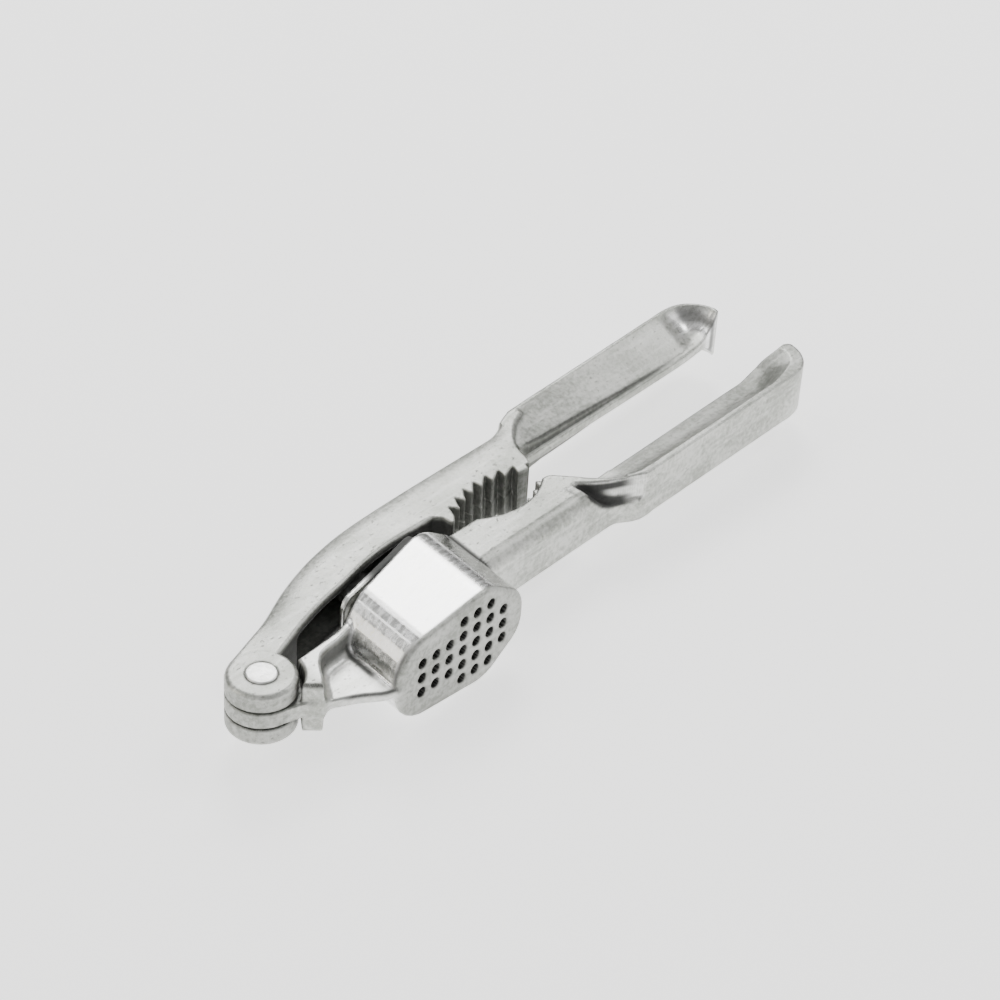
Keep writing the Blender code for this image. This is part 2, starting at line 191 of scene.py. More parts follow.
# The sky's brightness by its height
SKY = ((0.0, 0.12), (0.14, 0.2), (0.32, 0.55), (1.0, 0.62))
SKY_STRENGTH = 0.9
FLOOR_HALF_SIZE = 3.0
FLOOR_GAP = 0.0002
FLOOR_GLOW = 1.3

# Camera, in degrees and millimetres
CAMERA_AZIMUTH = 39.163
CAMERA_ELEVATION = 37.007
CAMERA_ROLL = 3.688
CAMERA_FROM_HINGE = Vector((-299.41, -301.0, 370.62))
CAMERA_LENS = 102.62
CAMERA_SENSOR = 36.0


# ---------------------------------------------------------------- plan curves

def polar(centre, radius, angle):
    """The point at a radius and an angle from a centre."""
    return centre[0] + radius * math.cos(angle), centre[1] + radius * math.sin(angle)


def arc(centre, radius, start, end, count):
    """Points on a circle from start to end, in degrees."""
    angles = np.radians(np.linspace(start, end, count + 1))
    return [polar(centre, radius, angle) for angle in angles]


def spline(points, steps=4):
    """A smooth curve through the points."""
    padded = [points[0]] + list(points) + [points[-1]]
    curve = []
    for i in range(1, len(padded) - 2):
        p0, p1, p2, p3 = (Vector(p) for p in padded[i - 1:i + 3])
        for step in range(steps):
            t = step / steps
            curve.append(tuple(0.5 * (
                2 * p1 + (p2 - p0) * t
                + (2 * p0 - 5 * p1 + 4 * p2 - p3) * t ** 2
                + (3 * p1 - p0 - 3 * p2 + p3) * t ** 3
            )))
    curve.append(tuple(points[-1]))
    return curve


def rounded(corners, steps=7):
    """A closed outline whose corners (x, y, radius) are rounded by arcs."""
    outline = []
    count = len(corners)
    for i, (x, y, radius) in enumerate(corners):
        here = Vector((x, y))
        before = (Vector(corners[i - 1][:2]) - here).normalized()
        after = (Vector(corners[(i + 1) % count][:2]) - here).normalized()
        half_angle = before.angle(after) / 2
        centre = here + (before + after).normalized() * radius / math.sin(half_angle)
        first = here + before * radius / math.tan(half_angle) - centre
        last = here + after * radius / math.tan(half_angle) - centre
        for step in range(steps + 1):
            outline.append(tuple(centre + first.lerp(last, step / steps).normalized() * radius))
    return outline


def path_distance(points, x, y):
    """Distance to a run of straight segments."""
    best = np.full(np.broadcast(x, y).shape, 1e6, np.float32)
    for (ax, ay), (bx, by) in zip(points, points[1:]):
        ex, ey = bx - ax, by - ay
        along = np.clip(((x - ax) * ex + (y - ay) * ey) / (ex * ex + ey * ey + 1e-12), 0, 1)
        best = np.minimum(best, (x - ax - along * ex) ** 2 + (y - ay - along * ey) ** 2)
    return np.sqrt(best)


def outline_distance(points, x, y):
    """Signed distance to a closed outline, negative inside."""
    closed = list(points) + [points[0]]
    inside = np.zeros(np.broadcast(x, y).shape, bool)
    for (ax, ay), (bx, by) in zip(closed, closed[1:]):
        if ay != by:
            inside ^= ((ay > y) != (by > y)) & (x < ax + (y - ay) / (by - ay) * (bx - ax))
    distance = path_distance(closed, x, y)
    return np.where(inside, -distance, distance)


# ---------------------------------------------------------------- fields

def meet(a, b, radius):
    """Where both bodies are, with the edge between them rounded."""
    u = a + radius
    v = b + radius
    return np.minimum(np.maximum(u, v), 0) + np.hypot(np.maximum(u, 0), np.maximum(v, 0)) - radius


def merge(a, b, radius):
    """Both bodies together, with a fillet between them."""
    return -meet(-a, -b, radius)


def carve(a, b, radius):
    """The first body without the second, with the new edges rounded."""
    return meet(a, -b, radius)


def ease(value, low, high):
    """0 below low, 1 above high, smooth between."""
    t = np.clip((value - low) / (high - low), 0, 1)
    return t * t * (3 - 2 * t)


def fade(value, full, none):
    """1 up to full, 0 beyond none, smooth between."""
    return 1 - ease(value, full, none)


def axis(*runs):
    """Grid coordinates from runs of (start, end, step)."""
    parts = []
    for start, end, step in runs:
        parts.append(np.linspace(start, end, round((end - start) / step) + 1)[:-1])
    parts.append([runs[-1][1]])
    return np.concatenate(parts)


def relief(height, level, x, y):
    """Field of the body below a height that varies over the plan."""
    flat = height[:, :, 0]
    dx, dy = np.gradient(flat, x[:, 0, 0], y[0, :, 0])
    return (level - height) / np.sqrt(1 + dx ** 2 + dy ** 2)[:, :, None]


def handle_height(depth, rim, edge, steepness):
    """A handle's half thickness: a full-height rim, then a hollow slope down to its edge height."""
    along = np.clip((depth - rim) / (HANDLE_DEPTH - rim), 0, 1)
    return edge + (FULL_HALF - edge) * (1 - along) ** steepness


# ---------------------------------------------------------------- meshes

def add_object(name, data):
    """A new object in the scene."""
    made = bpy.data.objects.new(name, data)
    bpy.context.scene.collection.objects.link(made)
    return made


def surface_crossings(field, coordinates, number):
    """Where grid edges cross the surface: points, normals, cells around, and which edges leave the metal."""
    slopes = np.gradient(field, *coordinates)
    for along in range(3):
        low = [slice(None)] * 3
        high = [slice(None)] * 3
        low[along] = slice(0, -1)
        high[along] = slice(1, None)
        a, b = field[tuple(low)], field[tuple(high)]
        start = np.argwhere((a < 0) != (b < 0))
        end = start.copy()
        end[:, along] += 1
        first, last = tuple(start.T), tuple(end.T)
        t = (field[first] / (field[first] - field[last])).astype(float)
        point = np.stack([coordinates[i][start[:, i]] for i in range(3)], 1).astype(float)
        far_side = coordinates[along][end[:, along]]
        point[:, along] += t * (far_side - point[:, along])
        normal = np.stack([s[first] * (1 - t) + s[last] * t for s in slopes], 1)
        normal /= np.linalg.norm(normal, axis=1, keepdims=True) + 1e-9
        around = []
        for step_second, step_third in ((-1, -1), (0, -1), (0, 0), (-1, 0)):
            near = start.copy()
            near[:, (along + 1) % 3] += step_second
            near[:, (along + 2) % 3] += step_third
            around.append(number[tuple(near.T)])
        yield point, normal, around, field[first] < 0


def cell_vertices(sums):
    """For each cell, the point nearest to its crossings' tangent planes, pulled a little to their mean."""
    count = sums[0]
    mean = sums[1:4] / count
    pull = MEAN_PULL * count
    matrix = np.empty((len(count), 3, 3))
    for entry, (i, j) in zip(range(4, 10), ((0, 0), (1, 1), (2, 2), (0, 1), (0, 2), (1, 2))):
        matrix[:, i, j] = sums[entry]
        matrix[:, j, i] = sums[entry]
    for i in range(3):
        matrix[:, i, i] += pull
    target = (sums[10:13] + pull * mean).T
    return np.linalg.solve(matrix, target[:, :, None])[:, :, 0]


def mesh_from_field(name, field, coordinates, masks):
    """A closed mesh over the field's zero surface, with its sharp edges kept, and its masks."""
    field = np.ascontiguousarray(field, np.float32)
    inside = field < 0
    cells = tuple(n - 1 for n in field.shape)
    corners = sum(
        inside[i:i + cells[0], j:j + cells[1], k:k + cells[2]].astype(np.int8)
        for i, j, k in product((0, 1), repeat=3)
    )
    active = (corners > 0) & (corners < 8)
    cell_index = np.argwhere(active)
    total = len(cell_index)
    number = np.full(cells, -1, np.int64)
    number[active] = np.arange(total)

    # One vertex in each cell that the surface crosses, and one quad around each crossed grid edge
    sums = np.zeros((13, total))
    faces = []
    for point, normal, around, leaving in surface_crossings(field, coordinates, number):
        offset = (normal * point).sum(1)
        rows = [np.ones(len(point)), *point.T,
                normal[:, 0] ** 2, normal[:, 1] ** 2, normal[:, 2] ** 2,
                normal[:, 0] * normal[:, 1], normal[:, 0] * normal[:, 2],
                normal[:, 1] * normal[:, 2], *(normal * offset[:, None]).T]
        for cell in around:
            for row, values in enumerate(rows):
                sums[row] += np.bincount(cell, values, total)
        quads = np.stack(around, 1)
        faces.append(np.where(leaving[:, None], quads, quads[:, ::-1]))
    vertices = cell_vertices(sums)
    for i in range(3):
        low_side = coordinates[i][cell_index[:, i]]
        high_side = coordinates[i][cell_index[:, i] + 1]
        vertices[:, i] = np.clip(vertices[:, i], low_side, high_side)
    world = vertices * MM + np.array(HINGE)
    quads = np.concatenate(faces)

    mesh = bpy.data.meshes.new(name)
    mesh.vertices.add(total)
    mesh.vertices.foreach_set("co", world.astype(np.float32).ravel())
    mesh.loops.add(quads.size)
    mesh.loops.foreach_set("vertex_index", quads.astype(np.int32).ravel())
    mesh.polygons.add(len(quads))
    mesh.polygons.foreach_set("loop_start", np.arange(0, quads.size, 4, dtype=np.int32))
    mesh.update(calc_edges=True)
    mesh.validate()
    mesh.shade_smooth()
    for mask, values in masks.items():
        layer = mesh.attributes.new(mask, 'FLOAT', 'POINT')
        grid = np.broadcast_to(values, field.shape)
        sampled = sum(grid[tuple((cell_index + corner).T)] for corner in product((0, 1), repeat=3)) / 8
        layer.data.foreach_set("value", np.ascontiguousarray(sampled, np.float32))
    return add_object(name, mesh)


# ---------------------------------------------------------------- lower lever

def basket_corners(distance=0.0):
    """The basket's rounded outline in the outlet plane, moved inwards."""
    corners = ((-19.3, -9.2, 9.0), (7.6, -12.04, 9.5), (18.5, -4.7, 6.8),
               (18.5, 4.7, 6.8), (7.6, 12.04, 9.5), (-19.3, 9.2, 9.0))
    moved = []
    for i, (x, y, radius) in enumerate(corners):
        here = Vector((x, y))
        before = (here - Vector(corners[i - 1][:2])).normalized()
        after = (Vector(corners[(i + 1) % len(corners)][:2]) - here).normalized()
        normal_sum = Vector((-before.y - after.y, before.x + after.x))
        shift = normal_sum * distance / (1 + before.dot(after))
        moved.append((x + shift.x, y + shift.y, max(radius - distance, 0.6)))
    return rounded(moved)


def basket_side(x, y, z, distance=0.0):
    """Signed distance to the basket's side wall, along its skewed axis."""
    u = x - BASKET_X - BASKET_SKEW * (y - OUTLET_Y)
    return outline_distance(basket_corners(distance), u, z) / math.hypot(1, BASKET_SKEW)


def mouth_plane(x, y):
    """Field of what lies below the basket's slanted mouth."""
    slope = (y - MOUTH_Y - MOUTH_SLOPE * (x - MOUTH_X)) / math.hypot(1, MOUTH_SLOPE)
    return meet(slope, y - MOUTH_TOP, 1.2)


def widened(shape, window, values):
    """A field worked out in a window of the grid, FAR from the metal everywhere else."""
    full = np.full(shape, FAR, np.float32)
    full[window] = values
    return full


def lower_teeth():
    """Saw teeth along the lower jaw's arc: a valley, then a tip most of the way to the next valley."""
    first = math.radians(270) - LOWER_STEP * LOWER_TEETH / 2
    valley = LOWER_JAW_RADIUS + LOWER_VALLEY_DEPTH
    tip = LOWER_JAW_RADIUS - LOWER_TOOTH_HEIGHT
    points = []
    for i in range(LOWER_TEETH):
        left = first + i * LOWER_STEP
        points.append(polar(LOWER_JAW_CENTRE, valley, left))
        points.append(polar(LOWER_JAW_CENTRE, tip, left + LOWER_TIP_SHARE * LOWER_STEP))
    return points


def lower_lever():
    """The lower casting: tongue, neck, web, basket, jaw and handle."""
    xs = axis((-8.4, 16, 0.33), (16, 60, 0.36), (60, 88, 0.32), (88, 106, 0.24), (106, 154, 0.9),
              (154, 169.6, 0.36))
    ys = axis((-19.4, -15.6, 0.27), (-15.6, -12.6, 0.34), (-12.6, -1.8, 0.26), (-1.8, 8.4, 0.34))
    zs = axis((-12.1, 12.1, 0.34))
    x, y, z = xs[:, None, None], ys[None, :, None], zs[None, None, :]
    level = np.abs(z)
    shape = (len(xs), len(ys), len(zs))

    # Tongue, neck flange and web
    from_hinge = np.hypot(x, y)
    tongue = meet(from_hinge - EAR_RADIUS, level - TONGUE_HALF, 0.35)
    root = outline_distance([(-1, -7.28), (5, -9.3), (10, -7), (10.6, -2.4), (6, -1.6), (0, 0)], x, y)
    tongue = np.minimum(tongue, meet(root, level - TONGUE_HALF, 0.3))
    clearance = arc((0, 0), NECK_RADIUS, -68, -10.8, 12)
    inner = spline([(24.5, -2.0), (18.7, -3.3), (13.6, -3.8), (10.6, -5.9), (8.2, -9.0), (6.2, -11.0)])
    neck_plan = outline_distance(clearance + [(19.8, -1.2), (24.5, 0.1)] + inner, x, y)
    neck = meet(neck_plan + NECK_DRAFT * (level - 4), level - FULL_HALF, 0.55)
    web_edge = spline([(4.4, -9.2), (8.6, -11.6), (13.2, -14.2), (17.6, -17.4), (21.5, -18.2)])
    web_outline = web_edge + [(26.0, -16.0), (26.0, -1.0), (19.0, -1.8), (9.0, -2.5)]
    web_plan = outline_distance(web_outline, x, y)
    web = meet(web_plan, level - WEB_HALF, 0.45)

    # Basket
    window = np.s_[np.searchsorted(xs, 14):np.searchsorted(xs, 66)]
    side = widened(shape, window, basket_side(x[window], y, z))
    hollow = widened(shape, window, basket_side(x[window], y, z, BASKET_WALL))
    mouth = mouth_plane(x, y)
    basket = meet(meet(side, OUTLET_Y - y, 1.0), mouth, 0.45)
    cavity = meet(hollow, OUTLET_Y + OUTLET_THICKNESS - y, 0.8)
    holes = np.full(shape, FAR, np.float32)
    for row, first, last in HOLE_ROWS:
        for column in range(first, last + 1):
            hole = np.hypot(x - BASKET_X - column * HOLE_PITCH, z - row * HOLE_ROW_PITCH) - HOLE_RADIUS
            holes = np.minimum(holes, hole)
    holes = np.maximum(holes, y - OUTLET_Y - HOLE_DEPTH)

    # Jaw plate, its teeth and the band that sweeps down to the palm
    jaw_arc = arc(LOWER_JAW_CENTRE, LOWER_JAW_RADIUS, 306, 232, 20)
    step_down = spline([(98.0, -8.7), (99.6, -9.0), (101.4, -10.0), (103.2, -11.0), (105.2, -11.55),
                        (108.0, -11.7)])
    sweep = spline([(108, -10.0), (104.4, -9.7), (100.6, -8.4), (96.9, -4.9), (93.8, -1.1), (91.9, 1.2),
                    (90.4, 3.0), (88.9, 3.5)])
    jaw_plan = outline_distance([(50, -8.7)] + step_down + sweep + jaw_arc
                                + [(65.6, 3.9), (60.0, 4.0), (50, 4.0)], x, y)
    edge_radius = 0.8 + 3.2 * fade(y, -6.5, -1.5) * fade(x, 89, 97) * ease(z, -1, 1)
    jaw = meet(jaw_plan, np.abs(z + JAW_DROP) - FULL_HALF - JAW_DROP, edge_radius)
    backing = arc(LOWER_JAW_CENTRE, LOWER_JAW_RADIUS + 2.5, 310, 230, 16)
    teeth_plan = outline_distance(lower_teeth() + backing, x, y)
    teeth = meet(teeth_plan, level - LOWER_TOOTH_HALF, 0.25)
    jaw = merge(jaw, teeth, 0.12)
    up_floor = np.clip((SCOOP_END - x) / SCOOP_LENGTH, 0, 1) ** SCOOP_CURVE
    floor = SCOOP_LOW + SCOOP_RISE * up_floor + 0 * y
    scoop_plan = outline_distance(
        spline([(90.4, -2.4), (92.2, -3.2), (94.8, -5.6), (97.6, -7.6), (100.8, -9.3), (104.6, -11.2),
                (107.0, -12.8)])
        + [(107.0, -14.0), (88, -14.0), (88, -2.4)], x, y)
    scoop = meet(scoop_plan, -relief(floor, z, x, y), 1.2)

    # Handle
    palm = spline([(99, -9.0), (102.2, -10.5), (104.4, -11.4), (108, -11.7), (151.6, -11.7), (159.6, -11.7),
                   (164.1, -10.5), (167.2, -7.5), (168.6, -4.1), (168.3, -2.8)])
    web_line = spline([(167.2, -2.1), (165.0, -2.2), (161.6, -1.4), (157.6, -0.8), (140, -0.8), (97, -1.1),
                       (92.5, -0.4)])
    handle_plan = outline_distance(palm + web_line, x, y)
    depth = path_distance(palm, x, y)
    lobe = ease(x, 152, 162)
    rim = RIM_WIDTH_LOWER + 1.5 * lobe
    height = handle_height(depth, rim, WEB_HALF + 2.2 * lobe, 3.0 - 2.0 * lobe)
    handle = meet(handle_plan, relief(height, level, x, y), 0.4)
    handle = meet(handle, HANDLE_START - x, 0.3)
    start_web = outline_distance([(90, -8.6), (98, -8.7), (104, -10.8), (106, -11), (106, -0.9), (97, -1.1),
                                  (91, 0)], x, y)
    start_web = meet(start_web, level - WEB_HALF, 0.35)

    frame_part = merge(np.minimum(tongue, neck), web, 2.0)
    body = merge(frame_part, basket, 0.9)
    arm = merge(jaw, np.minimum(handle, start_web), 0.5)
    arm = carve(arm, scoop, 0.5)
    body = merge(body, arm, 0.25)
    body = carve(body, cavity, 0.3)
    body = carve(body, holes, 0.22)
    body = carve(body, np.maximum(from_hinge - RIVET_BORE, level - RIVET_BORE_HALF), 0.1)
    ears = meet(from_hinge - EAR_SWEEP_RADIUS, EAR_SWEEP_LEVEL - level, 0.1)
    body = carve(body, ears, 0.15)

    # Polished on the basket's wall and, less so, on the neck and in the scoop
    on_basket = fade(np.abs(side), 0.5, 1.4) * ease(y, OUTLET_Y + 0.6, OUTLET_Y + 1.4) * ease(jaw, 0, 0.4)
    on_neck = fade(x, 18, 22) * ease(x, 5.0, 9.0) * fade(np.abs(frame_part), 0.3, 0.8)
    in_scoop = fade(scoop, -0.1, 0.15)
    polish = np.maximum(np.maximum(on_basket, 0.35 * on_neck), 0.6 * in_scoop)

    # Painted shade inside the basket, in its holes, on its outlet face and where the jaw joins it
    inner_dark = fade(cavity, -0.2, 0.7) * fade(mouth, -2.0, -0.2)
    hole_dark = fade(holes, 0.05, 0.4) * ease(y, OUTLET_Y - 0.05, OUTLET_Y + 0.3)
    outlet_dark = ease(OUTLET_Y - y, -0.6, -0.1) * ease(x, 16, 20)
    lip_dark = fade(np.abs(side), 0.3, 1.0) * ease(OUTLET_Y - y, -2.2, -1.2) * fade(x, 22, 27)
    lip_dark = lip_dark * ease(z, -1.0, 2.5) * ease(y, OUTLET_Y + 0.3, OUTLET_Y + 1.0)
    seam_dark = fade(np.abs(side), 0.3, 0.8) * fade(np.abs(jaw), 0.3, 0.8) * ease(level, 3.5, 5.0)

    # Painted shade beside the ears, on the tongue's edge, on the neck's walls and toe, and along the web
    gap_dark = fade(ears, -0.1, 0.25)
    edge_dark = fade(np.abs(from_hinge - EAR_RADIUS), 0.1, 0.4) * fade(level, 1.4, 2.0)
    wall_dark = fade(from_hinge, 8.5, 8.9) * ease(level, 1.7, 2.1) * fade(level, 5.4, 5.9)
    step_dark = fade(path_distance(inner, x, y), 0.3, 0.9) * ease(level, 1.4, 2.2)
    step_dark = step_dark * fade(level, 4.6, 5.4) * ease(y, -9.4, -8.4) * fade(y, -2.4, -1.9)
    toe_dark = fade(path_distance([(3.4, -8.0), (6.2, -11.0)], x, y), 0.2, 0.7) * ease(z, 5.0, 5.6)
    web_dark = fade(np.abs(side - 1.1), 0.3, 1.0) * ease(y, -13.5, -10.5) * fade(level, 2.5, 4.5)
    web_dark = web_dark * fade(x, 24, 27)
    ledge_dark = fade(np.abs(web_plan), 0.2, 0.7) * ease(z, 0.2, 0.8) * fade(z, 1.3, 1.7)
    ledge_dark = ledge_dark * ease(x, 9, 12) * fade(y, -12, -10) * fade(x, 20, 22)

    # Painted shade in the scoop, apart from a wedge left lit
    wedge = ease(x, 95.5, 98.5) * ease(z - floor, 1.5, 2.4) * fade(z, 3.2, 4.0)
    scoop_dark = fade(np.abs(scoop), 0.5, 1.1) * fade(scoop_plan, 0.5, 1.0) * (1 - 0.85 * wedge)
    scoop_dark = scoop_dark * fade(z, 5.2, 5.8) * fade(x, 100, 104)

    # Painted shade in the handle's hollow and between the teeth
    slope_dark = ease(depth, rim + 0.1, rim + 0.5) * ease(x, 104, 108) * (1 - 0.6 * lobe)
    foot_dark = slope_dark * fade(depth, rim + 0.6, rim + 1.4) * fade(x, 140, 158)
    tooth_dark = fade(np.abs(teeth_plan), 0.0, 0.5) * ease(LOWER_TOOTH_HALF - level, -0.3, 0.3)
    # All the painted shade marks together, as one mask on the mesh
    painted_shade = np.maximum.reduce(np.broadcast_arrays(
        inner_dark * 0.7, hole_dark, outlet_dark * 0.22, lip_dark * 0.75, seam_dark * 0.9,
        gap_dark * 0.9, edge_dark * 0.25, wall_dark * 0.95, step_dark * 0.6, toe_dark * 0.8,
        web_dark * 0.85, ledge_dark * 0.85, scoop_dark * 0.95,
        slope_dark * 0.22, foot_dark * 0.55, tooth_dark * 0.55))
    return mesh_from_field("lower_lever_casting", body, (xs, ys, zs), {"polish": polish, "painted_shade": painted_shade})


# ---------------------------------------------------------------- upper lever

def upper_teeth(shift):
    """Saw teeth from heel to toe: a slanted rise to each valley, then a steep drop to a tip."""
    points = []
    for i in range(UPPER_TEETH):
        angle = math.pi / 2 - (i - (UPPER_TEETH - 1) / 2) * UPPER_STEP - shift
        points.append(polar(UPPER_JAW_CENTRE, UPPER_VALLEY, angle))
        points.append(polar(UPPER_JAW_CENTRE, UPPER_TIP, angle - UPPER_TIP_TURN))
    return points


def upper_lever():
    """The upper casting: two ears, a hollow arm, jaw and handle."""
    xs = axis((-8.4, 16, 0.33), (16, 58, 0.4), (58, 96, 0.27), (96, 106, 0.33), (106, 150, 0.9),
              (150, 168.8, 0.33))
    ys = axis((-8.4, 27.2, 0.33))
    zs = axis((-7.2, 7.2, 0.33))
    x, y, z = xs[:, None, None], ys[None, :, None], zs[None, None, :]
    level = np.abs(z)

    outer = spline([(-2.2, 7.01), (9.6, 10.7), (20.8, 15.6), (29.4, 18.5), (37.1, 20.2), (45.0, 21.2),
                    (56.7, 21.6), (72, 21.6), (88.0, 21.4), (91.6, 21.5), (95.0, 22.4), (98.6, 24.2),
                    (104.0, 25.0)])
    crescent = spline([(103.8, 22.3), (99.5, 20.6), (96.6, 18.6), (94.4, 16.3), (92.7, 14.0), (91.6, 11.4)])
    toe = [(91.0, 10.2), (89.9, 8.4), (89.2, 9.0), (88.4, 7.6)]
    heel = [(64.4, 7.3), (63.3, 6.3), (62.4, 6.2), (62.3, 8.6), (60.8, 10.3)]
    inner = spline([(55.8, 10.5), (48.1, 10.7), (39.2, 9.8), (31.6, 8.3), (25.0, 7.2), (17.0, 5.2),
                    (9.4, 2.7)])
    plans = []
    for shift in (0.0, PARTING_SHIFT):
        outline = outer + crescent + toe + upper_teeth(shift)[::-1] + heel + inner + [(6.8, 1.8), (0, 0)]
        plans.append(outline_distance(outline, x, y))
    arm_plan = np.where(z > 0, plans[0], plans[1])
    outer_depth = path_distance(outer, x, y)
    shoulder = 0.75 * np.clip(1 - outer_depth / 4.2, 0, 1) ** 2 * ease(x, 4, 16) * fade(x, 92, 104)
    arm_height = EAR_HALF - 0.02 - shoulder - 0.25 * ease(x, 90, 104)
    near_teeth = ease(x, 59, 62) * fade(x, 90, 93) * fade(y, 13, 15)
    edge_radius = 0.9 - 0.65 * near_teeth
    arm = meet(arm_plan, relief(arm_height, level, x, y), edge_radius)
    from_hinge = np.hypot(x, y)
    ear = meet(from_hinge - EAR_RADIUS, level - EAR_HALF, 1.1)
    arm = merge(arm, ear, 0.2)

    # Handle
    palm = spline([(96.5, 23.2), (100.5, 24.6), (104, 25.03), (130, 25.7), (150.8, 26.24), (158.8, 26.4),
                   (163.3, 25.2), (166.4, 22.2), (167.7, 18.8), (167.5, 17.0)])
    web_line = spline([(166.2, 16.4), (163.0, 16.1), (158.5, 15.3), (150, 14.75), (130, 14.6), (98, 14.5),
                       (94.5, 13.6)])
    handle_plan = outline_distance(palm + web_line, x, y)
    depth = path_distance(palm, x, y)
    ledge_depth = path_distance(web_line, x, y)
    edge = WEB_HALF + 1.9 * (1 - ease(x, 100, 150))
    slope = handle_height(depth, RIM_WIDTH_UPPER, edge, 1.0 + 2.2 * ease(x, 154, 163))
    on_slope = np.maximum(ease(ledge_depth, 0.8, 1.3), ease(x, 156, 160))
    height = WEB_HALF + (slope - WEB_HALF) * on_slope
    handle = meet(handle_plan, relief(height, level, x, y), 0.35)
    body = merge(arm, handle, 0.35)

    # Clevis gap, channel under the arm, bores
    clevis = outline_distance([(-12, -12), (12, -12), (12, 1.0), (9.3, 3.4), (6.6, 6.6), (2.5, 9.0),
                               (-12, 12)], x, y)
    gap = meet(clevis, level - CLEVIS_HALF, 0.3)
    channel_top = spline([(15.0, 9.0), (22.0, 12.6), (30.0, 15.4), (40.0, 17.9), (50.0, 18.9), (57.0, 19.0)])
    channel_plan = outline_distance(channel_top + [(57.5, 6), (48, 4), (30, 2), (14, 0)], x, y)
    channel = meet(channel_plan, level - CHANNEL_HALF, 0.8)
    body = carve(body, gap, 0.35)
    body = carve(body, channel, 0.35)
    rivet_hole = from_hinge - RIVET_BORE
    pocket = meet(from_hinge - POCKET_RADIUS, POCKET_FLOOR - level, 0.1)
    body = carve(body, np.minimum(rivet_hole, pocket), 0.12)
    pin_hole = np.maximum(np.hypot(x - PIN_X, y - PIN_Y) - PIN_BORE, z - PIN_TOP - 0.2)
    body = carve(body, pin_hole, 0.15)

    # Polished in the cupped end
    polish = ease(x, 156.5, 159) * ease(depth, 1.0, 1.6) * ease(height, 1.3, 2.2)

    # Painted shade on the ears' edge, in the rivet's pocket, in the clevis and under the arm
    edge_dark = fade(np.abs(from_hinge - EAR_RADIUS), 0.1, 0.5) * fade(x, 2, 5)
    edge_dark = edge_dark * fade(level, 5.0, 6.0)
    front = -0.775 * x - 0.632 * y
    pocket_dark = fade(np.abs(from_hinge - POCKET_RADIUS), 0.05, 0.35) * ease(front, 0.0, 2.4)
    pocket_dark = pocket_dark * ease(level, 5.2, 5.7)
    gap_dark = fade(gap, -0.2, 0.3)
    channel_dark = fade(channel, -0.3, 0.4)
    inner_wall = heel[2:] + inner + [(6.8, 1.8), (4.5, 1.2)]
    wall_dark = fade(path_distance(inner_wall, x, y), 0.3, 1.0) * fade(level, 5.3, 5.9)
    wall_dark = wall_dark * fade(x, 62.6, 63.2)

    # Painted shade between the teeth, and at the handle's root, ledge and tip
    jaw_face = ease(x, 61, 62.5) * fade(x, 89.5, 91) * fade(y, 13.4, 14.2)
    tooth_dark = jaw_face * fade(np.abs(arm_plan), 0.1, 0.5) * ease(EAR_HALF - 0.3 - level, -0.1, 0.4)
    crescent_dark = fade(path_distance(crescent, x, y), 0.15, 0.8) * ease(level, 2.0, 4.0)
    drop_dark = ease(ledge_depth, 0.5, 0.85) * fade(ledge_depth, 1.35, 1.75) * fade(x, 140, 156)
    drop_dark = drop_dark * ease(x, 94, 97) * fade(np.abs(handle), 0.2, 0.6)
    tip_dark = ease(x, 160, 162) * fade(x, 165, 166.5) * ease(depth, 1.0, 1.5) * fade(depth, 3.0, 4.0)
    # All the painted shade marks together, as one mask on the mesh
    painted_shade = np.maximum.reduce(np.broadcast_arrays(
        edge_dark * 0.28, pocket_dark * 0.9, gap_dark * 0.9, channel_dark * 0.95, wall_dark * 0.92,
        tooth_dark * 0.6, crescent_dark * 0.405, drop_dark * 0.75, tip_dark * 0.7))
    return mesh_from_field("upper_lever_casting", body, (xs, ys, zs), {"polish": polish, "painted_shade": painted_shade})


# ---------------------------------------------------------------- plunger and rivets

